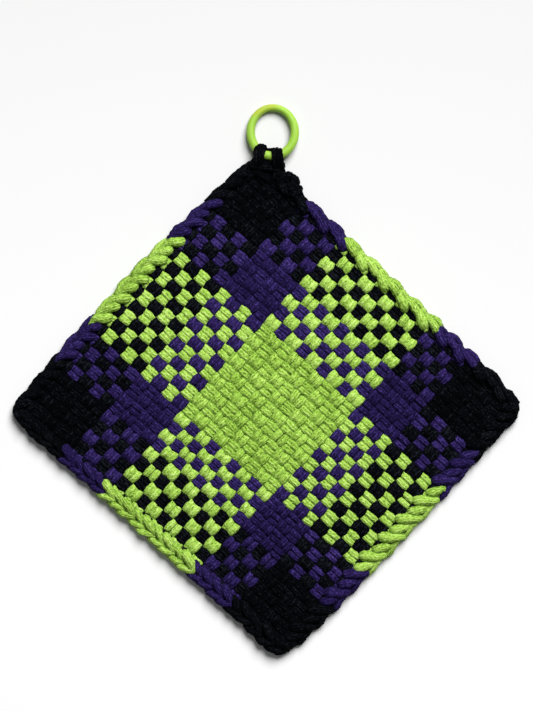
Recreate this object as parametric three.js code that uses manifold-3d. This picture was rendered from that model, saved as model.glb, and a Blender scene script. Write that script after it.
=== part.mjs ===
// Woven pot holder: a plain-weave mat of cotton loops with a chained edge, a hanging loop and a ring.
//
// Millimetres, +Z up. The mat lies flat as a diamond with the ring's corner at +Y, and the origin is
// on the surface that it lies on, under the crossing of its two middle loops. Inside the mat, A runs
// from the top corner towards the right one and B from the top corner towards the left one, both
// counted from the origin.

import * as THREE from 'three';
import { mergeVertices } from 'three/addons/utils/BufferGeometryUtils.js';
import Module from 'manifold-3d';

const wasm = await Module();
wasm.setup();

// Driving sizes
const MAT_THICKNESS = 6.0;
const CELL_RELIEF = 1.7; // how far a cell's crown stands above the valleys between cells
const FULL_CELL = 7.3; // a narrower cell has a lower crown
const CROWN_SHARE = 0.56; // the crown's length across the strands, as a share of the cell
const LAND_SIZE = 5.0; // the flat land under the centre cell
const GAP = 0.3; // between neighbouring pieces
const A_DIRECTION = new THREE.Vector2(0.7099, -0.7043);
const B_DIRECTION = new THREE.Vector2(-0.697, -0.717);
const HALF_SPAN = 100; // where the tables below give their first and last column

// The loops in order, the same both ways
const LOOP_RUNS = [
  { colour: 'black', loops: 5 },
  { colour: 'purple', loops: 4 },
  { colour: 'green', loops: 9 },
  { colour: 'purple', loops: 4 },
  { colour: 'black', loops: 5 },
];
const LOOPS = LOOP_RUNS.reduce((sum, run) => sum + run.loops, 0);
const CROSSING_ROUNDS = 4; // how often a crossing is settled between its two curved borders
const SAME_POINT = 1e-4; // corners closer than this are one

// Borders between loops: A of the columns at three places down the mat, and B of the rows across it.
// The outermost loops show only a narrow strip, because the chained edge pulls them in.
const COLUMN_BORDERS = [
  { line: 0, first: -104.9, middle: -104.2, last: -102.2 },
  { line: 1, first: -102.3, middle: -101.6, last: -99.6 },
  { line: 5, first: -70.3, middle: -69.6, last: -66.6 },
  { line: 9, first: -39.3, middle: -37.0, last: -34.1 },
  { line: 18, first: 34.9, middle: 37.0, last: 35.5 },
  { line: 22, first: 63.9, middle: 66.4, last: 65.9 },
  { line: 26, first: 98.4, middle: 100.1, last: 99.1 },
  { line: 27, first: 101.0, middle: 102.7, last: 101.7 },
];
const ROW_BORDERS = [
  { line: 0, first: -97.3, middle: -99.3, last: -101.1 },
  { line: 1, first: -94.7, middle: -96.7, last: -98.5 },
  { line: 5, first: -60.9, middle: -67.0, last: -67.9 },
  { line: 9, first: -30.1, middle: -35.6, last: -38.5 },
  { line: 18, first: 39.5, middle: 35.6, last: 30.1 },
  { line: 22, first: 68.9, middle: 62.1, last: 59.4 },
  { line: 26, first: 100.5, middle: 93.5, last: 88.9 },
  { line: 27, first: 103.1, middle: 96.1, last: 91.5 },
];

// The chained edge: where its outer side runs, from each side's start to its end, clockwise from the
// top corner. Its height and scallops are the same all round.
const EDGE_SIDES = [
  { name: 'upper_right', outer: [106.1, 108.1, 110.1] },
  { name: 'lower_right', outer: [109.4, 112.4, 111.4] },
  { name: 'lower_left', outer: [104.4, 106.9, 109.4] },
  { name: 'upper_left', outer: [111.6, 115.6, 109.1] },
];
const CHAIN_HEIGHT = 7.4;
const SCALLOP_DEPTH = 1.5; // between two links, at the outer side
const CREST_DIP = 1.7; // between two links, at the top
const LINK_SLANT = 2.4; // how far a link's outer and inner legs trail its middle
const CORNER_STATIONS = 5;
const CORNER_PULL = 0.22; // how much narrower the chain is at the middle of a corner
const SKIPPED_LINKS = { first: 2, last: 1 }; // the hanging loop takes their place at the top corner

// The ring lies on the surface at its far side and is held up a little by the hanging loop
const RING = { x: 2.6, y: 163.5, acrossX: 31.1, acrossY: 33.7, tubeRadius: 2.6, heldHeight: 5.6 };
const RING_SEGMENTS = 32;
const RING_TUBE_SEGMENTS = 10;

// The hanging loop wraps the ring's tube twice, at these angles from the ring's lowest point, and its
// hitch fills the corner beside the mat
const WRAPS = [
  { angle: -32.7, halfWidth: 3.5 },
  { angle: 9.8, halfWidth: 3.6 },
];
const WRAP_THICKNESS = 2.2;
const WRAP_GROOVE = 0.6; // between a wrap's two strands
const WRAP_SEGMENTS = 12;
const LUMP_SEGMENTS = { round: 10, tall: 6 };
const HITCH_LUMPS = [
  { a: -101.0, b: -103.1, z: 4.0, halfA: 3.8, halfB: 5.2, halfZ: 3.9 },
  { a: -107.1, b: -101.1, z: 3.9, halfA: 3.3, halfB: 4.6, halfZ: 3.6 },
];

const COLOURS = { black: 0x0b0d10, purple: 0x34216a, green: 0x9ccb4c, ring: 0xa6e34a };

function cottonMaterial(colour) {
  return new THREE.MeshStandardMaterial({ color: COLOURS[colour], roughness: 0.95, metalness: 0 });
}

function plasticMaterial() {
  return new THREE.MeshStandardMaterial({ color: COLOURS.ring, roughness: 0.3, metalness: 0 });
}

// Places inside the mat
function place(a, b, z) {
  const x = a * A_DIRECTION.x + b * B_DIRECTION.x;
  const y = a * A_DIRECTION.y + b * B_DIRECTION.y;
  return new THREE.Vector3(x, y, z);
}

// The parabola through three values at -HALF_SPAN, 0 and HALF_SPAN
function bow(values, along) {
  const [first, middle, last] = values;
  const t = along / HALF_SPAN;
  return middle + (last - first) * 0.5 * t + ((first + last) * 0.5 - middle) * t * t;
}

// Where border number `line` of a table runs, at a place along it
function border(table, line, along) {
  const above = Math.max(1, table.findIndex((row) => row.line >= line));
  const [low, high] = [table[above - 1], table[above]];
  const share = (line - low.line) / (high.line - low.line);
  const lowPlace = bow([low.first, low.middle, low.last], along);
  const highPlace = bow([high.first, high.middle, high.last], along);
  return lowPlace + (highPlace - lowPlace) * share;
}

// The crossing of a column border and a row border, as { a, b }
function crossing(column, row) {
  let a = border(COLUMN_BORDERS, column, 0);
  let b = border(ROW_BORDERS, row, a);
  for (let round = 0; round < CROSSING_ROUNDS; round += 1) {
    a = border(COLUMN_BORDERS, column, b);
    b = border(ROW_BORDERS, row, a);
  }
  return { a, b };
}

function between(p, q, share) {
  return { a: p.a + (q.a - p.a) * share, b: p.b + (q.b - p.b) * share };
}

// A closed mesh from a list of triangles, each three points in outward order
function geometryFrom(triangles) {
  const positions = triangles.flatMap((triangle) => triangle.flatMap((p) => [p.x, p.y, p.z]));
  const geometry = new THREE.BufferGeometry();
  geometry.setAttribute('position', new THREE.Float32BufferAttribute(positions, 3));
  return geometry;
}

function namedMesh(name, geometry, material) {
  const mesh = new THREE.Mesh(geometry, material);
  mesh.name = name;
  return mesh;
}

// A point of the mat: `side` is 1 on the upper face and -1 on the lower one
function matPoint(where, side, height) {
  const middle = MAT_THICKNESS / 2;
  return place(where.a, where.b, middle + side * height);
}

function cellCorners(column, row) {
  const steps = [[0, 0], [1, 0], [1, 1], [0, 1]];
  return steps.map(([right, down]) => crossing(column + right, row + down));
}

function lengthBetween(p, q) {
  return Math.hypot(q.a - p.a, q.b - p.b);
}

// One cell of a face: a hip roof whose crown lies across the strands that are on top there
function cellTriangles(column, row, side) {
  const corners = cellCorners(column, row);
  const columnOnTop = (column + row) % 2 === (side > 0 ? 1 : 0);
  const turned = columnOnTop ? corners : [corners[1], corners[2], corners[3], corners[0]];
  const width = Math.min(lengthBetween(corners[0], corners[1]), lengthBetween(corners[0], corners[3]));
  const valleyHeight = MAT_THICKNESS / 2 - CELL_RELIEF;
  const crownHeight = valleyHeight + CELL_RELIEF * Math.min(1, Math.sqrt(width / FULL_CELL));
  const [p, q, r, s] = turned.map((corner) => matPoint(corner, side, valleyHeight));
  const startMiddle = between(turned[0], turned[3], 0.5);
  const endMiddle = between(turned[1], turned[2], 0.5);
  const inset = (1 - CROWN_SHARE) / 2;
  const u = matPoint(between(startMiddle, endMiddle, inset), side, crownHeight);
  const v = matPoint(between(startMiddle, endMiddle, 1 - inset), side, crownHeight);
  return [[p, q, v], [p, v, u], [r, s, u], [r, u, v], [s, p, u], [q, r, v]];
}

// The centre cell of the lower face ends in a flat land, which is where the mat is measured from
function landTriangles(column, row) {
  const corners = cellCorners(column, row);
  const half = LAND_SIZE / 2;
  const centre = between(corners[0], corners[2], 0.5);
  const offsets = [[-half, -half], [half, -half], [half, half], [-half, half]];
  const land = offsets.map(([a, b]) => place(centre.a + a, centre.b + b, 0));
  const rim = corners.map((corner) => matPoint(corner, -1, MAT_THICKNESS / 2 - CELL_RELIEF));
  const triangles = [[land[0], land[1], land[2]], [land[0], land[2], land[3]]];
  for (let i = 0; i < 4; i += 1) {
    const j = (i + 1) % 4;
    triangles.push([rim[i], rim[j], land[j]], [rim[i], land[j], land[i]]);
  }
  return triangles;
}

function flipped(triangles) {
  return triangles.map(([p, q, r]) => [p, r, q]);
}

// The grid points round the mat, clockwise from the top corner, as [column, row] steps
function rimSteps() {
  const steps = [];
  for (let i = 0; i < LOOPS; i += 1) steps.push([i, 0]);
  for (let i = 0; i < LOOPS; i += 1) steps.push([LOOPS, i]);
  for (let i = 0; i < LOOPS; i += 1) steps.push([LOOPS - i, LOOPS]);
  for (let i = 0; i < LOOPS; i += 1) steps.push([0, LOOPS - i]);
  return steps;
}

function makeMat() {
  const centre = (LOOPS - 1) / 2;
  const triangles = [];
  for (let column = 0; column < LOOPS; column += 1) {
    for (let row = 0; row < LOOPS; row += 1) {
      const isCentre = column === centre && row === centre;
      triangles.push(...flipped(cellTriangles(column, row, 1)));
      triangles.push(...(isCentre ? landTriangles(column, row) : cellTriangles(column, row, -1)));
    }
  }
  const rim = rimSteps().map(([column, row]) => crossing(column, row));
  const edgeHeight = MAT_THICKNESS / 2 - CELL_RELIEF;
  rim.forEach((here, i) => {
    const next = rim[(i + 1) % rim.length];
    const low = matPoint(here, -1, edgeHeight);
    const high = matPoint(here, 1, edgeHeight);
    const nextLow = matPoint(next, -1, edgeHeight);
    const nextHigh = matPoint(next, 1, edgeHeight);
    triangles.push([low, high, nextHigh], [low, nextHigh, nextLow]);
  });
  return namedMesh('woven_mat', geometryFrom(triangles), cottonMaterial('green'));
}

// The four sides as seen by the chained edge: a place on the mat's rim, the outer side there, and
// which way is out and which way is along
const SIDE_FRAMES = [
  { rim: (i) => crossing(i, 0), out: { a: 0, b: -1 }, along: { a: 1, b: 0 } },
  { rim: (i) => crossing(LOOPS, i), out: { a: 1, b: 0 }, along: { a: 0, b: 1 } },
  { rim: (i) => crossing(LOOPS - i, LOOPS), out: { a: 0, b: 1 }, along: { a: -1, b: 0 } },
  { rim: (i) => crossing(0, LOOPS - i), out: { a: -1, b: 0 }, along: { a: 0, b: -1 } },
];

function stationOnSide(side, line) {
  const frame = SIDE_FRAMES[side];
  const low = Math.min(Math.floor(line), LOOPS - 1);
  const onRim = between(frame.rim(low), frame.rim(low + 1), line - low);
  const travelled = onRim.a * frame.along.a + onRim.b * frame.along.b;
  const reach = onRim.a * frame.out.a + onRim.b * frame.out.b;
  const outer = bow(EDGE_SIDES[side].outer, travelled);
  return { foot: onRim, out: frame.out, along: frame.along, width: outer - reach - GAP };
}

// Stations round the corner after a side turn about the mat's own corner
function cornerStations(side) {
  const before = stationOnSide(side, LOOPS);
  const after = stationOnSide((side + 1) % 4, 0);
  const stations = [];
  for (let i = 1; i < CORNER_STATIONS; i += 1) {
    const share = i / CORNER_STATIONS;
    const turn = share * Math.PI * 0.5;
    const out = {
      a: before.out.a * Math.cos(turn) + after.out.a * Math.sin(turn),
      b: before.out.b * Math.cos(turn) + after.out.b * Math.sin(turn),
    };
    const along = {
      a: before.along.a * Math.cos(turn) + after.along.a * Math.sin(turn),
      b: before.along.b * Math.cos(turn) + after.along.b * Math.sin(turn),
    };
    const pull = 1 - CORNER_PULL * Math.sin(2 * turn);
    const width = (before.width + (after.width - before.width) * share) * pull;
    stations.push({ foot: before.foot, out, along, width, slant: 0, isLobe: i % 2 === 1 });
  }
  return stations;
}

// Two stations a link: the notch before it and its lobe
function linkStations(side, firstLink, lastLink, startInset, endInset) {
  const stations = [];
  for (let link = firstLink; link <= lastLink; link += 1) {
    const shift = link === firstLink ? startInset : 0;
    stations.push({ ...stationOnSide(side, link), shift, isLobe: false });
    stations.push({ ...stationOnSide(side, link + 0.5), shift: 0, isLobe: true });
  }
  stations.push({ ...stationOnSide(side, lastLink + 1), shift: -endInset, isLobe: false });
  return stations;
}

// The section of the chain: `share` goes from its inner side to its outer side
const SECTION = [
  { share: 0.1, height: 0, bulge: 0, trail: 0.6 },
  { share: 0.84, height: 0, bulge: 0, trail: 0.6 },
  { share: 1.0, height: 0.45, bulge: 1, trail: 1 },
  { share: 0.78, height: 1.0, bulge: 0.6, trail: 0.6, crest: true },
  { share: 0.5, height: 0.8, bulge: 0, trail: 0 },
  { share: 0.24, height: 1.0, bulge: 0, trail: 0.6, crest: true },
  { share: 0.0, height: 0.45, bulge: 0, trail: 1 },
];

function sectionPoints(station) {
  const slant = station.slant ?? LINK_SLANT;
  return SECTION.map((point) => {
    const pinch = station.isLobe ? 0 : SCALLOP_DEPTH * point.bulge;
    const dip = station.isLobe || !point.crest ? 0 : CREST_DIP;
    const reach = GAP + station.width * point.share - pinch;
    const travel = (station.shift ?? 0) - slant * point.trail;
    const a = station.foot.a + station.out.a * reach + station.along.a * travel;
    const b = station.foot.b + station.out.b * reach + station.along.b * travel;
    return place(a, b, CHAIN_HEIGHT * point.height - dip);
  });
}

// A closed body through a row of sections, with a flat fan at each end
function loftTriangles(sections) {
  const triangles = [];
  for (let k = 0; k + 1 < sections.length; k += 1) {
    const here = sections[k];
    const next = sections[k + 1];
    here.forEach((p, i) => {
      const j = (i + 1) % here.length;
      triangles.push([p, here[j], next[j]], [p, next[j], next[i]]);
    });
  }
  const first = sections[0];
  const last = sections[sections.length - 1];
  const hub = 4; // the groove's point sees every other point of the section
  for (let i = 0; i < first.length; i += 1) {
    const j = (i + 1) % first.length;
    if (i !== hub && j !== hub) {
      triangles.push([first[hub], first[j], first[i]], [last[hub], last[i], last[j]]);
    }
  }
  return triangles;
}

function chainMesh(name, colour, stations) {
  const triangles = loftTriangles(stations.map(sectionPoints));
  return namedMesh(name, geometryFrom(triangles), cottonMaterial(colour));
}

// The chained edge in runs of one colour; the black runs of two sides meet round a corner
function makeChainedEdge() {
  const meshes = [];
  const cornerNames = ['right', 'bottom', 'left'];
  EDGE_SIDES.forEach((side, index) => {
    let link = 0;
    LOOP_RUNS.forEach((run, runIndex) => {
      const first = link;
      const last = link + run.loops - 1;
      link += run.loops;
      const isFirstRun = runIndex === 0;
      const isLastRun = runIndex === LOOP_RUNS.length - 1;
      if (isFirstRun && index > 0) return; // made with the corner before it
      const turnsCorner = isLastRun && index < cornerNames.length;
      const start = isFirstRun ? first + SKIPPED_LINKS.first : first;
      const end = isLastRun && !turnsCorner ? last - SKIPPED_LINKS.last : last;
      const stations = linkStations(index, start, end, GAP / 2, turnsCorner ? 0 : GAP / 2);
      if (turnsCorner) {
        stations.push(...cornerStations(index));
        stations.push(...linkStations(index + 1, 0, LOOP_RUNS[0].loops - 1, 0, GAP / 2));
        meshes.push(chainMesh(`chain_${cornerNames[index]}_corner`, run.colour, stations));
        return;
      }
      const part = runIndex < 2 ? 'first' : 'last';
      const suffix = run.colour === 'green' ? 'green' : `${run.colour}_${part}`;
      meshes.push(chainMesh(`chain_${side.name}_${suffix}`, run.colour, stations));
    });
  });
  return meshes;
}

// The ring's own frame: its middle, and how it tilts from the held side down to the surface
const RING_HALF_X = RING.acrossX / 2 - RING.tubeRadius;
const RING_HALF_Y = RING.acrossY / 2 - RING.tubeRadius;
const RING_TILT = Math.asin((RING.heldHeight - RING.tubeRadius) / (2 * RING_HALF_Y));

function ringPlacement() {
  const centre = new THREE.Vector3(RING.x, RING.y, (RING.heldHeight + RING.tubeRadius) / 2);
  const turn = new THREE.Quaternion().setFromAxisAngle(new THREE.Vector3(1, 0, 0), -RING_TILT);
  return new THREE.Matrix4().compose(centre, turn, new THREE.Vector3(1, 1, 1));
}

// The ring's tube is swept round an oval, so that it stays round in section
function ringGeometry(tubeRadius) {
  const triangles = [];
  const sections = [];
  for (let i = 0; i < RING_SEGMENTS; i += 1) {
    const angle = (i / RING_SEGMENTS) * Math.PI * 2;
    const middle = new THREE.Vector3(RING_HALF_X * Math.cos(angle), RING_HALF_Y * Math.sin(angle), 0);
    const normal = new THREE.Vector3(RING_HALF_Y * Math.cos(angle), RING_HALF_X * Math.sin(angle), 0);
    normal.normalize();
    const section = [];
    for (let k = 0; k < RING_TUBE_SEGMENTS; k += 1) {
      const round = (k / RING_TUBE_SEGMENTS) * Math.PI * 2 + Math.PI / RING_TUBE_SEGMENTS;
      const point = middle.clone().addScaledVector(normal, tubeRadius * Math.cos(round));
      point.z = tubeRadius * Math.sin(round);
      section.push(point);
    }
    sections.push(section);
  }
  sections.forEach((here, i) => {
    const next = sections[(i + 1) % sections.length];
    here.forEach((p, k) => {
      const j = (k + 1) % here.length;
      triangles.push([p, next[j], here[j]], [p, next[k], next[j]]);
    });
  });
  return geometryFrom(triangles).applyMatrix4(ringPlacement());
}

function makeRing() {
  return namedMesh('ring', ringGeometry(RING.tubeRadius), plasticMaterial());
}

// One wrap of the hanging loop: a band turned round the ring's tube
function wrapGeometry(wrap) {
  const inner = RING.tubeRadius + GAP;
  const outer = inner + WRAP_THICKNESS;
  const half = wrap.halfWidth;
  const profile = [
    [inner, -half],
    [outer - WRAP_GROOVE, -half],
    [outer, -half / 2],
    [outer - WRAP_GROOVE, 0],
    [outer, half / 2],
    [outer - WRAP_GROOVE, half],
    [inner, half],
    [inner, -half],
  ];
  const points = profile.map(([radius, along]) => new THREE.Vector2(radius, along));
  const geometry = new THREE.LatheGeometry(points, WRAP_SEGMENTS);
  const angle = THREE.MathUtils.degToRad(wrap.angle) - Math.PI / 2;
  const middle = new THREE.Vector3(RING_HALF_X * Math.cos(angle), RING_HALF_Y * Math.sin(angle), 0);
  const tangent = new THREE.Vector3(-RING_HALF_X * Math.sin(angle), RING_HALF_Y * Math.cos(angle), 0);
  const turn = new THREE.Quaternion().setFromUnitVectors(new THREE.Vector3(0, 1, 0), tangent.normalize());
  geometry.applyQuaternion(turn);
  geometry.translate(middle.x, middle.y, middle.z);
  return geometry.applyMatrix4(ringPlacement());
}

// One rounded lump of the hitch, between the ring and the mat's corner
function lumpGeometry(lump) {
  const geometry = new THREE.SphereGeometry(1, LUMP_SEGMENTS.round, LUMP_SEGMENTS.tall);
  geometry.rotateX(Math.PI / 2);
  geometry.scale(lump.halfA, lump.halfB, lump.halfZ);
  geometry.rotateZ(Math.atan2(A_DIRECTION.y, A_DIRECTION.x));
  const middle = place(lump.a, lump.b, lump.z);
  geometry.translate(middle.x, middle.y, middle.z);
  return geometry;
}

function toManifold(geometry) {
  const bare = geometry.clone();
  bare.deleteAttribute('normal');
  bare.deleteAttribute('uv');
  const merged = mergeVertices(bare.index ? bare.toNonIndexed() : bare, SAME_POINT);
  const vertProperties = new Float32Array(merged.attributes.position.array);
  const index = merged.index.array;
  const kept = [];
  for (let i = 0; i < index.length; i += 3) {
    const [p, q, r] = [index[i], index[i + 1], index[i + 2]];
    if (p !== q && q !== r && r !== p) kept.push(p, q, r);
  }
  return new wasm.Manifold(new wasm.Mesh({ numProp: 3, vertProperties, triVerts: new Uint32Array(kept) }));
}

function fromManifold(manifold) {
  const mesh = manifold.getMesh();
  const geometry = new THREE.BufferGeometry();
  geometry.setAttribute('position', new THREE.BufferAttribute(new Float32Array(mesh.vertProperties), 3));
  geometry.setIndex(new THREE.BufferAttribute(new Uint32Array(mesh.triVerts), 1));
  return geometry;
}

function makeHangingLoop() {
  const pieces = [...WRAPS.map(wrapGeometry), ...HITCH_LUMPS.map(lumpGeometry)];
  const joined = pieces.map(toManifold).reduce((sum, piece) => sum.add(piece));
  const clear = joined.subtract(toManifold(ringGeometry(RING.tubeRadius + GAP)));
  return namedMesh('hanging_loop', fromManifold(clear), cottonMaterial('black'));
}

const potHolder = new THREE.Group();
potHolder.add(makeMat(), ...makeChainedEdge(), makeHangingLoop(), makeRing());

export default potHolder;
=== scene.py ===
import math

import bmesh
import bpy
import numpy as np
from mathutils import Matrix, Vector


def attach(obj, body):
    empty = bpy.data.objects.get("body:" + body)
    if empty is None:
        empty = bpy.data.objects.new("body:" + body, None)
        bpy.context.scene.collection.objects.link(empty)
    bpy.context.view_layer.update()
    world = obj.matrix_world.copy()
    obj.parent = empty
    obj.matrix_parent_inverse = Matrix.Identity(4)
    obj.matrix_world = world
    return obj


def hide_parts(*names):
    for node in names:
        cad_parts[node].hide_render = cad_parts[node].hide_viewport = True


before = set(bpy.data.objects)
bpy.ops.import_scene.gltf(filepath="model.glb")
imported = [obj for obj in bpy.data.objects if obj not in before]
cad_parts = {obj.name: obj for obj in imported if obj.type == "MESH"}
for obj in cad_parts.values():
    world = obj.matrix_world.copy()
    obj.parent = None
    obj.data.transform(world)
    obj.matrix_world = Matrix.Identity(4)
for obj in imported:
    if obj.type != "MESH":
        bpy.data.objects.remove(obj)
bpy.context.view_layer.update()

# A woven pot holder: 27 cotton loops each way in plain weave, a chained edge, a hanging loop and a
# ring. Sizes are in millimetres, in the part's own frame, and become metres when a mesh is made.
MM = 0.001
LOOPS = 27
HALF_SPAN = 100.0
GAP = 0.3  # between the mat's rim and the chained edge
A_DIRECTION = np.array((0.7099, -0.7043))  # from column to column
B_DIRECTION = np.array((-0.697, -0.717))  # from row to row
LOOP_RUNS = (("black", 5), ("purple", 4), ("green", 9), ("purple", 4), ("black", 5))
LOOP_COLOURS = [colour for colour, count in LOOP_RUNS for _ in range(count)]

# Borders between the loops: line number, then its place at -100, 0 and +100 along the other way
COLUMN_BORDERS = np.array((
    (0, -104.9, -104.2, -102.2),
    (1, -102.3, -101.6, -99.6),
    (5, -70.3, -69.6, -66.6),
    (9, -39.3, -37.0, -34.1),
    (18, 34.9, 37.0, 35.5),
    (22, 63.9, 66.4, 65.9),
    (26, 98.4, 100.1, 99.1),
    (27, 101.0, 102.7, 101.7),
))
ROW_BORDERS = np.array((
    (0, -97.3, -99.3, -101.1),
    (1, -94.7, -96.7, -98.5),
    (5, -60.9, -67.0, -67.9),
    (9, -30.1, -35.6, -38.5),
    (18, 39.5, 35.6, 30.1),
    (22, 68.9, 62.1, 59.4),
    (26, 100.5, 93.5, 88.9),
    (27, 103.1, 96.1, 91.5),
))

# Each loop lies as two strands. They cross over and under at these heights. The columns, which were
# woven in last, are looser than the rows, so they rise higher and spread wider.
MIDDLE_HEIGHT = 3.0
COLUMN = dict(lift=2.0, width=1.15)
ROW = dict(lift=1.6, width=1.10)
CREST = 0.75  # how round the strands' waves are, 1 being the roundest
SWELL = 0.13  # how much wider a strand is where it lies on top
UNEVEN = 0.11  # how much the cells differ in width
CROSSING_PAINTED_LIGHT = 1.0  # painted light: how much paler a cell is drawn where it crosses a loop of another colour, and so gets no light of its own colour back from its neighbours
# Towards the lower right the coloured loops are pulled tighter than the black ones
TIGHTER = dict(start=20.0, full=80.0, coloured=-0.12, black=0.04)
EDGE_LIFT = 1.15  # at the outermost loop, which the chained edge squeezes
STRAND_THICKNESS = 3.0
THINNER = 0.03  # how much thinner a strand is on top, and thicker beneath
EASE_RISE = 0.12  # how much thicker a loose cell is, and how much higher it rises, in millimetres
STRANDS_AT = (0.25, 0.75)  # where the two strands of a loop lie in its cell
WANDER = 0.02  # how far a strand wanders sideways, in loops, as three waves of these paces
WANDER_PACES = (0.9, 1.7, 2.9)
STRAND_AROUND = 10
CELL_STEPS = 8
EDGE_CELL_STEPS = 4
EDGE_CELL = 2.6  # the narrow cell that an outermost loop fills, in millimetres
OUTERMOST_STRANDS = (-0.5, 0.4)  # where the two strands of an outermost loop lie in its narrow cell
OUTERMOST_WIDTH = 3.4
CROSSING_ROUNDS = 4  # enough for the places where bowed lines cross to settle

# Where a loop leaves the mat, its strands swell, draw together, and dive into the chained edge
RIM_SWELL = 0.08
GATHERED = 0.3
RIM_LIFT = 0.7  # share of its lift that a strand keeps just past the rim
DIVE = 2  # loops past the rim at which a strand would be back at the middle height
TUCKED_IN = (0.74, 0.42, 0.18)  # how far a strand runs on into the chained edge, as a share of it
END_TAPER = 0.5

# The chained edge, clockwise from the top corner: where its outer side runs at each side's start,
# middle and end, and how its links lie. A link is a closed strand that turns at its back, low between
# the legs of the link before it, and goes forward as two legs. Each row is how many links forward it
# is, what share of the edge's width across, its height and its width in millimetres. Links take
# turns to be full and slim.
EDGE_SIDES = (
    dict(outline=(104.1, 107.5, 110.2),
         full=dict(turn=((-0.40, 0.52, 4.2, 3.8),),
                   inner=((0.0, 0.52, 5.6, 4.5), (0.38, 0.46, 6.3, 5.1), (0.76, 0.36, 6.3, 5.4),
                          (1.02, 0.30, 5.5, 5.2), (1.08, 0.28, 3.2, 4.7)),
                   outer=((-0.25, 0.60, 3.8, 3.0), (0.12, 0.77, 5.4, 3.4), (0.58, 0.84, 6.0, 3.5),
                          (1.02, 0.76, 5.0, 3.4), (1.25, 0.64, 2.8, 3.0))),
         slim=dict(turn=((-0.22, 0.50, 3.8, 4.2),),
                   inner=((0.08, 0.40, 4.9, 5.0), (0.45, 0.24, 5.6, 5.9), (0.82, 0.08, 5.6, 6.6),
                          (1.06, -0.03, 4.8, 6.4), (1.13, -0.07, 2.8, 5.6)),
                   outer=((-0.12, 0.62, 4.4, 3.3), (0.25, 0.68, 5.2, 3.5), (0.7, 0.60, 4.4, 3.5),
                          (1.05, 0.52, 2.6, 3.2)))),
    dict(outline=(108.6, 112.0, 110.9),
         full=dict(turn=((-0.66, 0.59, 5.1, 4.5), (-0.74, 0.65, 3.7, 4.2)),
                   inner=((-0.45, 0.44, 5.8, 5.1), (-0.15, 0.18, 5.9, 6.1), (0.18, -0.10, 5.4, 7.1),
                          (0.36, -0.24, 4.8, 7.0), (0.44, -0.30, 2.9, 5.8)),
                   outer=((-0.55, 0.58, 2.9, 3.9), (-0.15, 0.62, 4.1, 3.9), (0.25, 0.67, 4.2, 3.9),
                          (0.65, 0.75, 3.8, 3.8), (1.05, 0.77, 2.6, 3.5))),
         slim=dict(turn=((-0.66, 0.43, 4.3, 4.4), (-0.72, 0.47, 3.0, 4.2)),
                   inner=((-0.44, 0.33, 5.3, 5.1), (0.0, 0.13, 5.8, 5.9), (0.30, -0.01, 5.4, 6.0),
                          (0.38, -0.05, 3.2, 5.4)),
                   outer=((-0.6, 0.50, 2.4, 3.8), (-0.2, 0.52, 2.3, 3.8), (0.2, 0.54, 2.2, 3.6)))),
    dict(outline=(101.2, 105.2, 110.3),
         full=dict(turn=((-0.32, 0.30, 4.0, 4.4), (-0.38, 0.42, 4.0, 4.2)),
                   inner=((0.0, 0.24, 5.2, 5.0), (0.45, 0.10, 6.1, 5.6), (0.90, -0.04, 5.7, 5.7),
                          (1.0, -0.08, 3.0, 5.4)),
                   outer=((-0.20, 0.51, 4.8, 4.2), (0.12, 0.64, 5.4, 4.5), (0.52, 0.77, 4.9, 4.5),
                          (0.85, 0.78, 3.0, 4.1))),
         slim=dict(turn=((-0.34, 0.38, 4.0, 4.1), (-0.40, 0.49, 4.0, 4.0)),
                   inner=((0.05, 0.30, 5.0, 4.6), (0.48, 0.12, 5.6, 4.9), (0.80, 0.0, 5.3, 4.9),
                          (0.90, -0.05, 3.0, 4.6)),
                   outer=((-0.25, 0.56, 4.8, 4.0), (0.05, 0.66, 5.2, 4.2), (0.45, 0.76, 4.7, 4.2),
                          (0.78, 0.77, 3.0, 3.9)))),
    dict(outline=(109.8, 115.2, 109.8),
         full=dict(turn=((-0.42, 0.68, 4.3, 4.2),),
                   inner=((0.02, 0.58, 5.1, 4.6), (0.42, 0.47, 5.8, 5.2), (0.78, 0.33, 6.1, 5.6),
                          (0.99, 0.24, 5.5, 5.6), (1.06, 0.20, 3.0, 5.2)),
                   outer=((-0.05, 0.76, 4.8, 3.9), (0.5, 0.84, 4.8, 3.9), (1.0, 0.80, 4.1, 3.8),
                          (1.45, 0.70, 2.6, 3.6))),
         slim=dict(turn=((-0.42, 0.64, 3.8, 4.1),),
                   inner=((0.0, 0.62, 5.0, 4.5), (0.40, 0.50, 5.9, 5.1), (0.76, 0.29, 6.3, 5.6),
                          (1.04, 0.11, 5.7, 5.7), (1.12, 0.06, 3.0, 5.2)),
                   outer=((0.1, 0.70, 3.2, 4.0), (0.7, 0.64, 2.8, 4.0), (1.2, 0.60, 2.3, 3.8)))),
)
# The first green link of the lower left side lies on top of the link before it, in a wide round end
ROUND_END_NUMBER = 63
ROUND_END = dict(turn=((-0.08, 0.28, 5.8, 5.2), (-0.22, 0.45, 5.6, 4.4), (-0.08, 0.60, 5.3, 4.3)),
                 inner=((0.20, 0.17, 6.3, 5.6), (0.55, 0.07, 6.5, 5.8), (0.92, -0.04, 5.8, 5.7),
                        (1.02, -0.08, 3.0, 5.4)),
                 outer=((0.15, 0.69, 5.0, 4.3), (0.50, 0.77, 4.7, 4.4), (0.85, 0.78, 3.0, 4.1)))
SIDE_NAMES = ("upper_right", "lower_right", "lower_left", "upper_left")
FULL_LINKS = (1, 0, 1, 0)  # on each side, 1 if its odd loops end in full links and 0 if its even ones do
SKIPPED_LINKS = (0, 1, 4 * LOOPS - 1)  # the hanging loop takes their place
# Beneath the links in front, past the ends of the two legs: forward, across, height and width. The
# place between the legs lies halfway across.
BENEATH_INNER = (0.12, 0.06, 2.2, 4.0)
BENEATH_MIDDLE = (0.1, 1.9, 3.8)
BENEATH_OUTER = (0.14, -0.08, 2.1, 3.6)
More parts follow.
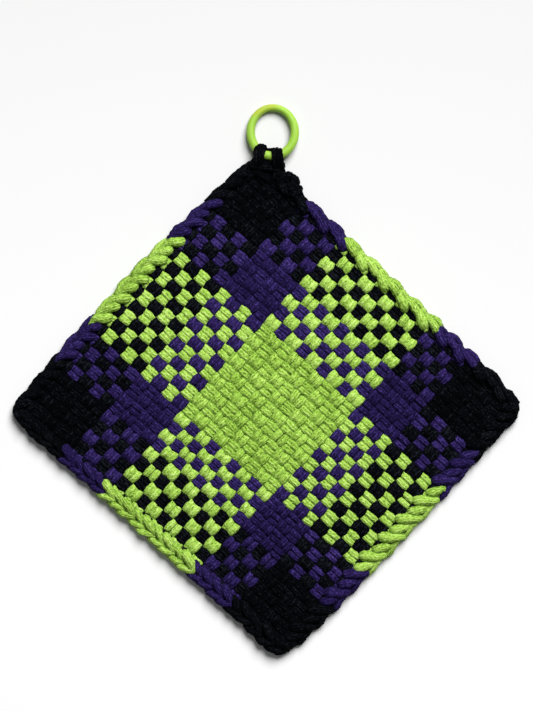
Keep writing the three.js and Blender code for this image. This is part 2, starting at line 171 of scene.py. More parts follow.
# How much links differ: in height where they are raised, in each place, forward, across and in width
LINK_LEAN = 0.2
RAISED = 3
LINK_JITTER = 0.022
LINK_STEP = 0.09
LINK_SHIFT = 0.025
LINK_GIRTH = 0.06
LINK_FLATNESS = 0.96  # a link's thickness as a share of its width
LINK_PALER = 0.4
WIDE_EDGE = 9.6  # where the edge is wider than this its links spread, up to this share
MOST_SPREAD = 1.25
LINK_STATIONS = 48
LINK_AROUND = 12
LUMPS = 0.1  # how far the knit's small lumps stand out or in
LINK_LUMPS = 0.15
CORNER_STEPS = 12
# Through a corner's turn: how much narrower the edge is where it begins, how much more so on the way
# round, and how much of that it gains again towards the end
CORNER_START = 0.3
CORNER_TURN = 0.28
CORNER_GAIN = 0.36
# Near a corner the edge is looser on the way out of it, and drawn in on the way to it: these shares of
# its width at these lines. The top corner has the hanging loop, so the edge keeps its width there.
CORNER_LINES = (1.0, 2.0, 3.5, LOOPS - 2.5, LOOPS - 1.5, LOOPS - 1.0)
CORNER_EASE = (1.08, 1.08, 1.0, 1.02, 0.94, 0.72)

rng = np.random.default_rng(27)


def colour_of(hex_value):
    """An sRGB hex colour as linear RGBA."""
    def linear(channel):
        c = channel / 255
        return c / 12.92 if c <= 0.04045 else ((c + 0.055) / 1.055) ** 2.4
    red = linear(hex_value >> 16)
    green = linear(hex_value >> 8 & 255)
    blue = linear(hex_value & 255)
    return red, green, blue, 1.0


def place(a, b):
    """Places inside the mat as x and y."""
    return np.outer(a, A_DIRECTION) + np.outer(b, B_DIRECTION)


def bowed(values, along):
    """The parabolas through three values each, at -HALF_SPAN, 0 and HALF_SPAN."""
    first, middle, last = values[:, 0:1], values[:, 1:2], values[:, 2:3]
    t = along[None, :] / HALF_SPAN
    return middle + (last - first) * 0.5 * t + ((first + last) * 0.5 - middle) * t * t


def border(table, line, along):
    """Where the borders with these line numbers run, at places along them."""
    places = bowed(table[:, 1:], along)
    above = np.clip(np.searchsorted(table[:, 0], line), 1, len(table) - 1)
    share = (line - table[above - 1, 0]) / (table[above, 0] - table[above - 1, 0])
    each = np.arange(len(along))
    low, high = places[above - 1, each], places[above, each]
    return low + (high - low) * share


def crossings(column, row):
    """Where column lines and row lines cross, as A and B."""
    a = border(COLUMN_BORDERS, column, np.zeros_like(column))
    b = border(ROW_BORDERS, row, a)
    for _ in range(CROSSING_ROUNDS):
        a = border(COLUMN_BORDERS, column, b)
        b = border(ROW_BORDERS, row, a)
    return a, b


def unit(vectors):
    return vectors / np.maximum(np.linalg.norm(vectors, axis=-1, keepdims=True), 1e-9)


def softened(wave, power):
    """A wave with flatter crests."""
    return np.sign(wave) * np.abs(wave) ** power


def smooth_closed(points, count):
    """A smooth closed line through control points, each with any number of values."""
    points = np.asarray(points, float)
    n = len(points)
    t = np.arange(count) * n / count
    k = t.astype(int)
    f = (t - k)[:, None]
    p0, p1, p2, p3 = (points[(k + step) % n] for step in (-1, 0, 1, 2))
    return 0.5 * (2 * p1 + (p2 - p0) * f + (2 * p0 - 5 * p1 + 4 * p2 - p3) * f ** 2
                  + (3 * p1 - p0 - 3 * p2 + p3) * f ** 3)


def strand(centre, width, thickness, up=None, closed=False, power=0.8, tone=0.5, lumps=LUMPS):
    """A strand's facts: its line, its size at each station, and which way its flat side faces."""
    centre = np.asarray(centre, float)
    if closed:
        tangent = unit(np.roll(centre, -1, axis=0) - np.roll(centre, 1, axis=0))
    else:
        tangent = unit(np.gradient(centre, axis=0))
    if up is None:
        up = np.tile((0.0, 0.0, 1.0), (len(centre), 1))
    across = unit(np.cross(up, tangent))
    width = np.broadcast_to(np.asarray(width, float), (len(centre),))
    thickness = np.broadcast_to(np.asarray(thickness, float), (len(centre),))
    return dict(centre=centre, across=across, up=np.cross(tangent, across), width=width,
                thickness=thickness, closed=closed, power=power, tone=tone, lumps=lumps)


def grid_mesh(stations, around):
    """A flat grid with UVs, which is then bent into a strand."""
    bm = bmesh.new()
    bm.loops.layers.uv.new("UVMap")
    bmesh.ops.create_grid(bm, x_segments=stations - 1, y_segments=around, size=0.5, calc_uvs=True)
    mesh = bpy.data.meshes.new("grid")
    bm.to_mesh(mesh)
    bm.free()
    return mesh


def strand_shell(facts, around):
    """Where a strand's surface runs, in metres: a ring of places at each of its stations."""
    ring = 2 * math.pi * np.arange(around) / around
    side = softened(np.cos(ring), facts["power"])
    rise = softened(np.sin(ring), facts["power"])
    half_width = facts["width"][:, None, None] / 2
    half_thickness = facts["thickness"][:, None, None] / 2
    shell = (facts["centre"][:, None, :]
             + facts["across"][:, None, :] * half_width * side[None, :, None]
             + facts["up"][:, None, :] * half_thickness * rise[None, :, None])
    shell += rng.normal(0, facts["lumps"], shell.shape)
    shell *= MM
    shell[:, :, 2] = np.maximum(shell[:, :, 2], 0)  # flat where it lies on the table
    return shell


def shell_facing(facts, around):
    """How far each place of the shell faces up or down, and not into a crease beside the strand. Places
    that face into a crease get painted shade.
    """
    ring = 2 * math.pi * np.arange(around) / around
    outward = unit(facts["across"][:, None, :] * np.cos(ring)[None, :, None]
                   + facts["up"][:, None, :] * np.sin(ring)[None, :, None])
    return np.abs(outward[:, :, 2])


def lay_uvs(mesh, facts, stations):
    """Makes a grid's UVs metres along and round its strand."""
    centre = facts["centre"]
    if facts["closed"]:
        centre = np.vstack((centre, centre[:1]))
    steps = np.linalg.norm(np.diff(centre, axis=0), axis=1)
    along = np.concatenate(([0.0], np.cumsum(steps))) * MM
    girth = math.pi * (facts["width"].mean() + facts["thickness"].mean()) / 2 * MM
    uv = np.zeros(len(mesh.loops) * 2, np.float32)
    layer = mesh.uv_layers[0].data
    layer.foreach_get("uv", uv)
    uv = uv.reshape(-1, 2)
    at = np.rint(uv[:, 0] * (stations - 1)).astype(int)
    start = np.ravel(facts["tone"])[0] * KNIT_SHIFT
    laid = np.column_stack((along[at] + start, uv[:, 1] * girth))
    layer.foreach_set("uv", laid.astype(np.float32).ravel())


def bend_grid(mesh, facts, around):
    """Bends the grid round a strand's line."""
    count = len(facts["centre"])
    stations = count + (1 if facts["closed"] else 0)
    shell = strand_shell(facts, around)
    flat = np.zeros(len(mesh.vertices) * 3, np.float32)
    mesh.vertices.foreach_get("co", flat)
    flat = flat.reshape(-1, 3) + 0.5
    i = np.rint(flat[:, 0] * (stations - 1)).astype(int) % count
    j = np.rint(flat[:, 1] * around).astype(int) % around
    mesh.vertices.foreach_set("co", shell[i, j].astype(np.float32).ravel())
    lay_uvs(mesh, facts, stations)
    tone = np.broadcast_to(facts["tone"], (count,))[i]
    # Painted shade: places that face sideways, into the creases beside a strand, are drawn darker
    painted_crease_shade = shell_facing(facts, around)[i, j]
    for name, values in (("tone", tone), ("painted_crease_shade", painted_crease_shade)):
        layer = mesh.attributes.new(name, "FLOAT", "POINT")
        layer.data.foreach_set("value", values.astype(np.float32))


def strand_piece(name, strands, around, material, replaced):
    """One piece of many strands, each a closed tube."""
    bm = bmesh.new()
    bm.loops.layers.uv.new("UVMap")
    bm.verts.layers.float.new("tone")
    bm.verts.layers.float.new("painted_crease_shade")
    for facts in strands:
        stations = len(facts["centre"]) + (1 if facts["closed"] else 0)
        mesh = grid_mesh(stations, around)
        bend_grid(mesh, facts, around)
        bm.from_mesh(mesh)
        bpy.data.meshes.remove(mesh)
    bmesh.ops.remove_doubles(bm, verts=bm.verts, dist=1e-7)
    open_edges = [edge for edge in bm.edges if edge.is_boundary]
    if open_edges:
        bmesh.ops.holes_fill(bm, edges=open_edges, sides=around)
    bmesh.ops.recalc_face_normals(bm, faces=bm.faces)
    for face in bm.faces:
        face.smooth = True
    mesh = bpy.data.meshes.new(name)
    bm.to_mesh(mesh)
    bm.free()
    piece = bpy.data.objects.new(name, mesh)
    bpy.context.scene.collection.objects.link(piece)
    mesh.materials.append(material)
    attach(piece, "root")
    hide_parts(*replaced)
    return piece


def add_node(tree, kind, links=(), **settings):
    """Adds a node. Settings that name an input give its value, the others are the node's own."""
    made = tree.nodes.new(kind)
    for key, value in settings.items():
        if hasattr(made, key):
            setattr(made, key, value)
    for key, value in settings.items():
        name = key.replace("_", " ")
        found = [socket for socket in made.inputs if socket.name.lower() == name.lower()]
        if found and not hasattr(made, key):
            found[0].default_value = value
    for target, source in links:
        tree.links.new(source, made.inputs[target])
    return made


# The knit, in metres, and how much each of its forms stands out beside the stitches
RIB_PITCH = 0.0013
STITCH_LENGTH = 0.0015
STITCH_WIDTH = 0.0009
FUZZ_SCALE = 1600.0  # fuzz of about 0.6 mm
RELIEF = dict(ribs=0.3, pits=0.16, fuzz=1.1)
# What makes the cotton lighter or darker besides its relief, which puts painted shade in the knit's low
# places: a random tone, with painted light where a loop crosses another colour, a slow change of dye,
# and painted shade in the creases beside a strand; and the range of the whole
DYE_SCALE = 65.0  # a slow change over some 15 mm
SHADES = dict(tone=0.15, dye=0.4, painted_crease_shade=0.3)
DARKEST = 1.36
LIGHTEST = 2.60
KNIT_SHIFT = 0.37  # each strand starts elsewhere in the knit: metres for a whole step of its tone


def plus(tree, total, source, weight):
    """Adds a weighted value to a total."""
    sum_node = add_node(tree, "ShaderNodeMath", [(0, source), (2, total)], operation="MULTIPLY_ADD")
    sum_node.inputs[1].default_value = weight
    return sum_node.outputs[0]


def knit_relief(tree, coords):
    """How high a knit stands: ribs of small stitches along the strand, pits, and a short fuzz."""
    # A wave texture of scale 1 repeats every 2 pi / 20. The stitches shake its ribs.
    ribs = add_node(tree, "ShaderNodeTexWave", [("Vector", coords.outputs["UV"])],
                    wave_type="BANDS", bands_direction="Y", scale=2 * math.pi / (20 * RIB_PITCH),
                    distortion=3.2, detail=2.0)
    ribs.inputs["Detail Scale"].default_value = 2.4
    stitch_place = add_node(tree, "ShaderNodeMapping", [("Vector", coords.outputs["UV"])])
    stitch_place.inputs["Scale"].default_value = (1 / STITCH_LENGTH, 1 / STITCH_WIDTH, 1)
    stitches = add_node(tree, "ShaderNodeTexNoise", [("Vector", stitch_place.outputs[0])],
                        noise_dimensions="2D", scale=1.0, detail=1.0)
    # Three pits for every four stitches, so about 2 mm apart
    holes = add_node(tree, "ShaderNodeTexVoronoi", [("Vector", stitch_place.outputs[0])],
                     voronoi_dimensions="2D", scale=0.75)
    pits = add_node(tree, "ShaderNodeMapRange", [("Value", holes.outputs["Distance"])],
                    from_min=0.08, from_max=0.42)
    fuzz = add_node(tree, "ShaderNodeTexNoise", [("Vector", coords.outputs["Object"])],
                    scale=FUZZ_SCALE, detail=3.0, roughness=0.6)
    height = plus(tree, stitches.outputs["Fac"], ribs.outputs["Fac"], RELIEF["ribs"])
    height = plus(tree, height, pits.outputs[0], RELIEF["pits"])
    return plus(tree, height, fuzz.outputs["Fac"], RELIEF["fuzz"])


def cotton_jersey(name, shades, gloss, sheen, sheen_tint):
    """Knitted cotton, cut as a narrow band that curls into a soft round strand: matt, with the knit's
    relief, and with painted shade in its low places and in the creases beside a strand. The shades are
    its deepest, middle and lightest."""
    deep, middle, light = shades
    material = bpy.data.materials.new(name)
    material.use_nodes = True
    tree = material.node_tree
    tree.nodes.clear()
    coords = add_node(tree, "ShaderNodeTexCoord")
    height = knit_relief(tree, coords)
    dye = add_node(tree, "ShaderNodeTexNoise", [("Vector", coords.outputs["Object"])],
                   scale=DYE_SCALE, detail=2.0)
    tone = add_node(tree, "ShaderNodeAttribute", attribute_name="tone")
    # Painted shade in the creases beside a strand
    painted_crease_shade = add_node(tree, "ShaderNodeAttribute", attribute_name="painted_crease_shade")
    # The colour follows the knit's relief as well as its bump: the low places, between ribs and in pits,
    # get painted shade, and the fuzz mottles it at random
    shade = plus(tree, height, tone.outputs["Fac"], SHADES["tone"])
    shade = plus(tree, shade, dye.outputs["Fac"], SHADES["dye"])
    shade = plus(tree, shade, painted_crease_shade.outputs["Fac"], SHADES["painted_crease_shade"])
    spread = add_node(tree, "ShaderNodeMapRange", [("Value", shade)],
                      from_min=DARKEST, from_max=LIGHTEST)
    ramp = add_node(tree, "ShaderNodeValToRGB", [("Fac", spread.outputs[0])])
    ramp.color_ramp.elements[0].color = colour_of(deep)
    ramp.color_ramp.elements[1].color = colour_of(light)
    halfway = ramp.color_ramp.elements.new(0.5)
    halfway.color = colour_of(middle)
    bump = add_node(tree, "ShaderNodeBump", [("Height", height)],
                    strength=0.8, distance=0.0006)
    shader = add_node(tree, "ShaderNodeBsdfPrincipled", [
        ("Base Color", ramp.outputs[0]),
        ("Normal", bump.outputs[0]),
    ])
    shader.inputs["Roughness"].default_value = 0.95
    shader.inputs["Specular IOR Level"].default_value = gloss
    shader.inputs["Sheen Weight"].default_value = sheen
    shader.inputs["Sheen Roughness"].default_value = 0.45
    shader.inputs["Sheen Tint"].default_value = colour_of(sheen_tint)
    add_node(tree, "ShaderNodeOutputMaterial", [("Surface", shader.outputs[0])])
    return material


# The ring's yellow painted highlight at its far side, along a way that leans to the left, in metres
PAINTED_HIGHLIGHT_LEAN = -0.4
PAINTED_HIGHLIGHT_START = 0.173
PAINTED_HIGHLIGHT_FULL = 0.180
PAINTED_HIGHLIGHT_STRENGTH = 1.7


def moulded_plastic():
    """Moulded polystyrene of a craft ring: even lime green that lets some light in, a soft gloss, and
    a yellow painted highlight at the far side."""
    material = bpy.data.materials.new("lime_moulded_plastic")
    material.use_nodes = True
    tree = material.node_tree
    tree.nodes.clear()
    coords = add_node(tree, "ShaderNodeTexCoord")
    split = add_node(tree, "ShaderNodeSeparateXYZ", [("Vector", coords.outputs["Object"])])
    slant = add_node(tree, "ShaderNodeMath", [(0, split.outputs["X"]), (2, split.outputs["Y"])],
                     operation="MULTIPLY_ADD")
    slant.inputs[1].default_value = PAINTED_HIGHLIGHT_LEAN
    far = add_node(tree, "ShaderNodeMapRange", [("Value", slant.outputs[0])],
                   from_min=PAINTED_HIGHLIGHT_START, from_max=PAINTED_HIGHLIGHT_FULL, to_max=PAINTED_HIGHLIGHT_STRENGTH,
                   interpolation_type="SMOOTHSTEP")
    clouds = add_node(tree, "ShaderNodeTexNoise", [("Vector", coords.outputs["Object"])],
                      scale=140.0, detail=1.0)
    # A patchy painted highlight on the ring's far side
    painted_highlight = add_node(tree, "ShaderNodeMath", [(0, far.outputs[0]), (1, clouds.outputs["Fac"])],
                      operation="MULTIPLY")
    # Of the mix node's sockets, inputs 6 and 7 and output 2 are the colours
    body = add_node(tree, "ShaderNodeMix", [("Factor", painted_highlight.outputs[0])], data_type="RGBA")
    body.inputs[6].default_value = colour_of(0x90B73F)
    # The painted highlight's yellow
    body.inputs[7].default_value = colour_of(0xA0AA2E)
    ripple = add_node(tree, "ShaderNodeTexNoise", [("Vector", coords.outputs["Object"])],
                      scale=320.0, detail=2.0)
    bump = add_node(tree, "ShaderNodeBump", [("Height", ripple.outputs["Fac"])],
                    strength=0.12, distance=0.0004)
    shader = add_node(tree, "ShaderNodeBsdfPrincipled", [
        ("Base Color", body.outputs[2]),
        ("Normal", bump.outputs[0]),
    ])
    shader.inputs["Roughness"].default_value = 0.52
    shader.inputs["Specular IOR Level"].default_value = 0.3
    shader.inputs["IOR"].default_value = 1.45
    shader.inputs["Subsurface Weight"].default_value = 0.6
    shader.inputs["Subsurface Radius"].default_value = (0.6, 1.0, 0.2)
    shader.inputs["Subsurface Scale"].default_value = 0.004
    add_node(tree, "ShaderNodeOutputMaterial", [("Surface", shader.outputs[0])])
    return material


MATERIALS = {
    "green": cotton_jersey("green_cotton_jersey", shades=(0x3F6408, 0x99C24A, 0xCFEA8A),
                           gloss=0.15, sheen=0.08, sheen_tint=0xEEF7B8),
    "purple": cotton_jersey("purple_cotton_jersey", shades=(0x05021A, 0x211545, 0x4B3C82),
                            gloss=0.08, sheen=0.04, sheen_tint=0x8C7CC8),
    "black": cotton_jersey("black_cotton_jersey", shades=(0x000001, 0x020306, 0x1F2329),
                           gloss=0.04, sheen=0.01, sheen_tint=0x6C7480),
}
RING_PLASTIC = moulded_plastic()


# The mat's four sides, clockwise from the top corner: which way is out, and which way is along
OUT = np.array(((0, -1), (1, 0), (0, 1), (-1, 0)), float)
ALONG = np.array(((1, 0), (0, 1), (-1, 0), (0, -1)), float)


def rim_line(side, line):
    """Places on the mat's rim along one side, as A and B."""
    line = np.atleast_1d(np.asarray(line, float))
    if side == 0:
        return crossings(line, np.zeros_like(line))
    if side == 1:
        return crossings(np.full_like(line, LOOPS), line)
    if side == 2:
        return crossings(LOOPS - line, np.full_like(line, LOOPS))
    return crossings(np.zeros_like(line), LOOPS - line)


def side_station(side, line):
    """A place on the mat's rim, and the width of the chained edge outside it."""
    a, b = rim_line(side, line)
    foot = np.array((a[0], b[0]))
    travelled = foot @ ALONG[side]
    outline = np.array([EDGE_SIDES[side]["outline"]])
    reach = bowed(outline, np.array([travelled]))[0, 0]
    return foot, reach - foot @ OUT[side] - GAP


def loop_stations(first_edge, last_edge):
    """Line numbers along a loop: fine steps in each full cell, fewer in the narrow edge cells, and a
    few in the chained edge at its two ends, which has these widths there."""
    stations = [-share * first_edge / EDGE_CELL for share in TUCKED_IN]
    for cell in range(LOOPS):
        steps = EDGE_CELL_STEPS if cell in (0, LOOPS - 1) else CELL_STEPS
        stations += [cell + step / steps for step in range(steps)]
    stations.append(LOOPS)
    stations += [LOOPS + share * last_edge / EDGE_CELL for share in reversed(TUCKED_IN)]
    return np.array(stations, float)


def strand_lines(index):
    """Where a loop's two strands lie, as line numbers."""
    if index == 0:
        return OUTERMOST_STRANDS
    if index == LOOPS - 1:
        return [LOOPS - at for at in OUTERMOST_STRANDS]
    return [index + at for at in STRANDS_AT]


def loop_height(wave, stations, lift):
    """How high a loop's strands run, over and under. Past the rim they stay as high as they left the
    mat, and then dive into the chained edge."""
    height = MIDDLE_HEIGHT + lift * softened(wave, CREST)
    beyond = np.clip(np.maximum(-stations, stations - LOOPS), 0, None)
    in_edge_cell = len(TUCKED_IN) + EDGE_CELL_STEPS // 2
    for past, rim_wave in ((stations < 0, wave[in_edge_cell]),
                           (stations > LOOPS, wave[-1 - in_edge_cell])):
        height[past] = (MIDDLE_HEIGHT
                        + RIM_LIFT * EDGE_LIFT * np.sign(rim_wave) * (1 - beyond[past] / DIVE))
    return height


def loop_strands(index, is_column, tightness):
    """The two strands of one loop, over and under the loops that it crosses."""
    way = COLUMN if is_column else ROW
    if is_column:
        ends = (0, index + 0.5), (2, LOOPS - index - 0.5)
    else:
        ends = (3, LOOPS - index - 0.5), (1, index + 0.5)
    stations = loop_stations(*(side_station(side, line)[1] for side, line in ends))
    phase = index + stations - 0.5
    wave = np.cos(math.pi * phase) * (-1 if is_column else 1)
    inside = np.clip(np.minimum(stations, LOOPS - stations), 0, 1)
    height = loop_height(wave, stations, EDGE_LIFT + (way["lift"] - EDGE_LIFT) * inside)
    cells = np.clip(stations.astype(int), 0, LOOPS - 1)
    ease = tightness[cells]
    other_colour = np.array([LOOP_COLOURS[cell] != LOOP_COLOURS[index] for cell in cells])
    taper = np.ones_like(stations)
    taper[0] = taper[-1] = END_TAPER
    strands = []
    for line, at in zip(strand_lines(index), STRANDS_AT):
        wander = rng.uniform(0, 2 * math.pi, len(WANDER_PACES))
        shift = sum(np.sin(stations * pace + start) for pace, start in zip(WANDER_PACES, wander))
        lines = line + WANDER * shift + (1 - inside) * (0.5 - at) * GATHERED
        if is_column:
            a, b = crossings(lines, stations)
            low, high = (border(COLUMN_BORDERS, np.full_like(b, index + k), b) for k in (0, 1))
        else:
            a, b = crossings(stations, lines)
            low, high = (border(ROW_BORDERS, np.full_like(a, index + k), a) for k in (0, 1))
        half_pitch = (high - low) / 2
        if index in (0, LOOPS - 1):
            half_pitch = np.full_like(half_pitch, OUTERMOST_WIDTH)
        pulled = np.clip((a - TIGHTER["start"]) / (TIGHTER["full"] - TIGHTER["start"]), 0, 1)
        change = TIGHTER["black" if LOOP_COLOURS[index] == "black" else "coloured"] * pulled
        width = half_pitch * (way["width"] + SWELL * wave + UNEVEN * ease
                              + RIM_SWELL * (1 - inside) + change)
        thickness = STRAND_THICKNESS * (1 - THINNER * wave) + EASE_RISE * ease
        centre = np.column_stack((place(a, b), height + EASE_RISE * ease * wave))
        # A random tone, with painted light where the cell crosses a loop of another colour
        tone = rng.uniform() + CROSSING_PAINTED_LIGHT * other_colour
        strands.append(strand(centre, width * taper, thickness * taper, tone=tone))
    return strands


def woven_loops():
    """The woven mat: its columns and its rows, grouped by colour."""
    pieces = []
    for is_column in (True, False):
        for colour in MATERIALS:
            strands = []
            for index in range(LOOPS):
                if LOOP_COLOURS[index] == colour:
                    strands += loop_strands(index, is_column, rng.uniform(-1, 1, LOOPS))
            way = "columns" if is_column else "rows"
            pieces.append(strand_piece(f"woven_{way}_{colour}", strands, STRAND_AROUND,
                                       MATERIALS[colour], ["woven_mat"]))
    return pieces


def corner_ease(side, line):
    """How much of its width the edge keeps near the corners, apart from the top one."""
    ease = np.interp(line, CORNER_LINES, CORNER_EASE)
    if side == 0:
        return min(ease, 1)
    if side == 3:
        return max(ease, 1)
    return ease


def edge_line():
    """The whole edge as stations: link number, foot on the rim, way out, and width."""
    numbers, feet, outs, widths = [], [], [], []

    def add(number, foot, out, width):
        numbers.append(number)
        feet.append(foot)
        outs.append(out)
        widths.append(width)

    for side in range(4):
        # At every half loop
        for line in np.arange(0 if side == 0 else 1, LOOPS - 0.5, 0.5):
            foot, width = side_station(side, line)
            add(side * LOOPS + line, foot, OUT[side], width * corner_ease(side, line))
        if side == 3:
            foot, width = side_station(side, LOOPS)
            add(4 * LOOPS, foot, OUT[side], width)
            continue
        # Two links turn the corner: from one loop before it to one loop after it. The turn between
        # them is as long as an arc along the middle of the edge.
        corner, width = side_station(side, LOOPS)
        next_width = side_station(side + 1, 0)[1]
        arc = math.pi / 2 * (width + next_width) / 2 / 2
        before = np.linalg.norm(corner - side_station(side, LOOPS - 1)[0])
        after = np.linalg.norm(corner - side_station(side + 1, 1)[0])
        total = before + arc + after
        start = side * LOOPS + LOOPS - 1
        for step in range(CORNER_STEPS + 1):
            share = step / CORNER_STEPS
            turn = share * math.pi / 2
            out = OUT[side] * math.cos(turn) + OUT[side + 1] * math.sin(turn)
            pull = (1 - CORNER_START * (1 - share)
                    - (CORNER_TURN - CORNER_GAIN * share) * math.sin(2 * turn))
            here = (width + (next_width - width) * share) * pull
            add(start + 2 * (before + arc * share) / total, corner, out, here)
    return np.array(numbers), np.array(feet), np.array(outs), np.array(widths)


EDGE = edge_line()


def edge_points(number, across, height):
    """Points of the edge: link number along it, share of its width across it, and height."""
    numbers, feet, outs, widths = EDGE
    foot = np.column_stack([np.interp(number, numbers, feet[:, k]) for k in (0, 1)])
    out = unit(np.column_stack([np.interp(number, numbers, outs[:, k]) for k in (0, 1)]))
    width = np.interp(number, numbers, widths)
    spot = foot + out * (GAP + width * across)[:, None]
    return np.column_stack((place(spot[:, 0], spot[:, 1]), height))


def beneath_links(link):
    """Where a link runs from its inner leg's end to its outer leg's, beneath the links in front."""
    forward, across = link["inner"][-1][:2]
    other_forward, other_across = link["outer"][-1][:2]
    step, shift, *size = BENEATH_INNER
    inner = (forward + step, across + shift, *size)
    step, *size = BENEATH_MIDDLE
    middle = (max(forward, other_forward) + step, (across + other_across) / 2, *size)
    step, shift, *size = BENEATH_OUTER
    outer = (other_forward + step, other_across + shift, *size)
    return inner, middle, outer


def link_strand(number):
    """One link of the chained edge: round its back turn, forward as two legs, and beneath the links
    in front of it."""
    side = min(number // LOOPS, 3)
    within = number % LOOPS
    loop = within if side < 2 else LOOPS - 1 - within
    is_full = loop % 2 == FULL_LINKS[side]
    link = EDGE_SIDES[side]["full" if is_full else "slim"]
    if number == ROUND_END_NUMBER:
        link = ROUND_END
    # The turn is listed from the inner leg to the outer one
    control = np.array((*reversed(link["turn"]), *link["inner"], *beneath_links(link),
                        *reversed(link["outer"])))
    lean, step, girth, shift = rng.uniform(-1, 1, 4)
    control[:, 2] += LINK_LEAN * lean * (control[:, 2] > RAISED)
    control[:, 0:2] += rng.normal(0, LINK_JITTER, (len(control), 2))
    line = smooth_closed(control, LINK_STATIONS)
    forward = number + 0.5 + LINK_STEP * step + line[:, 0]
    centre = edge_points(forward, line[:, 1] + LINK_SHIFT * shift, line[:, 2])
    width = line[:, 3] * (1 + LINK_GIRTH * girth)
    # Where the edge is wide its links are flatter and wider
    spread = np.clip(np.interp(forward, EDGE[0], EDGE[3]) / WIDE_EDGE, 1, MOST_SPREAD)
    return strand(centre, width * spread, width * LINK_FLATNESS, up=centre - centre.mean(axis=0),
                  closed=True, power=1.0, tone=rng.uniform() + LINK_PALER, lumps=LINK_LUMPS)


def chained_edge():
    """The chained edge in runs of one colour. The black runs of two sides meet round a corner."""
    runs = []
    for number in range(4 * LOOPS):
        if number in SKIPPED_LINKS:
            continue
        colour = LOOP_COLOURS[number % LOOPS]
        if not runs or runs[-1][0] != colour:
            runs.append((colour, []))
        runs[-1][1].append(number)
    pieces = []
    corner = iter(("right", "bottom", "left"))
    for colour, numbers in runs:
        side = numbers[0] // LOOPS
        name = SIDE_NAMES[side]
        turns = side != numbers[-1] // LOOPS
        if turns:
            node = f"chain_{next(corner)}_corner"
        elif colour == "green":
            node = f"chain_{name}_green"
        else:
            half = "first" if numbers[0] % LOOPS < LOOPS / 2 else "last"
            node = f"chain_{name}_{colour}_{half}"
        strands = [link_strand(number) for number in numbers]
        pieces.append(strand_piece(node.replace("chain_", "links_"), strands, LINK_AROUND,
                                   MATERIALS[colour], [node]))
    return pieces


# The ring, slightly oval: its tube is slimmer at the far side
RING = dict(x=2.6, y=163.5, across_x=31.1, across_y=33.7, tube=5.2, far_tube=4.2, held=5.6)
FAR_SHARPNESS = 3  # how closely the slimmer tube keeps to the far side
FAR_FLATNESS = 0.6  # share of the slimming that the tube's thickness takes
RING_STATIONS = 96
RING_AROUND = 20
RING_HALF_X = (RING["across_x"] - RING["tube"]) / 2
RING_HALF_Y = (RING["across_y"] - RING["tube"]) / 2
RING_TILT = math.asin((RING["held"] - RING["tube"] / 2) / (2 * RING_HALF_Y))


def ring_frame(angle):
    """The tube's middle, and its outward way, at angles counted from the ring's lowest point."""
    turned = angle - math.pi / 2
    local = np.column_stack((RING_HALF_X * np.cos(turned), RING_HALF_Y * np.sin(turned)))
    outward = unit(np.column_stack((RING_HALF_Y * np.cos(turned), RING_HALF_X * np.sin(turned))))
    height = (RING["held"] + RING["tube"] / 2) / 2
    slope = math.sin(RING_TILT)
    level = math.cos(RING_TILT)
    middle = np.column_stack((RING["x"] + local[:, 0], RING["y"] + local[:, 1] * level,
                              height - local[:, 1] * slope))
    way = np.column_stack((outward[:, 0], outward[:, 1] * level, -outward[:, 1] * slope))
    return middle, way


def make_ring():
    angle = np.arange(RING_STATIONS) * 2 * math.pi / RING_STATIONS
    middle, outward = ring_frame(angle)
    far = np.clip((1 - np.cos(angle)) / 2, 0, 1) ** FAR_SHARPNESS
    slim = (RING["tube"] - RING["far_tube"]) * far
    middle = middle + outward * (slim / 2)[:, None]
    up = np.tile((0.0, math.sin(RING_TILT), math.cos(RING_TILT)), (len(angle), 1))
    facts = strand(middle, RING["tube"] - slim, RING["tube"] - FAR_FLATNESS * slim, up=up,
                   closed=True, power=1.0, lumps=0.0)
    return strand_piece("oval_ring", [facts], RING_AROUND, RING_PLASTIC, ["ring"])


# The hanging loop: three strands wrap the ring's tube at each of two places. Each strand is given by
# where it lies on the tube, the way that it runs down to the hitch, and its width.
WRAPS = (
    dict(x=-7.4, y=148.7, run=(-0.06, -1.0), width=2.8),
    dict(x=-5.4, y=149.6, run=(-0.12, -0.99), width=2.9),
    dict(x=-3.4, y=150.4, run=(-0.26, -0.97), width=2.8),
    dict(x=3.3, y=148.6, run=(0.02, -1.0), width=2.5),
    dict(x=5.4, y=148.8, run=(0.05, -1.0), width=2.6),
    dict(x=7.5, y=148.3, run=(0.12, -0.99), width=2.7),
)
WRAP_THICKNESS = 3.0
# A wrap in its own plane: how far down towards the hitch, and how high
WRAP_LINE = ((-4.4, 5.2), (-3.4, 8.2), (0.0, 9.4), (3.2, 8.6), (5.4, 6.8), (7.4, 4.6), (6.4, 2.2),
             (0.0, 1.6), (-3.6, 2.4))

HITCH_FLATNESS = 0.85
HITCH_LUMPS = 0.18  # on a strand of HITCH_WIDTH, and less on a slimmer one
HITCH_WIDTH = 4
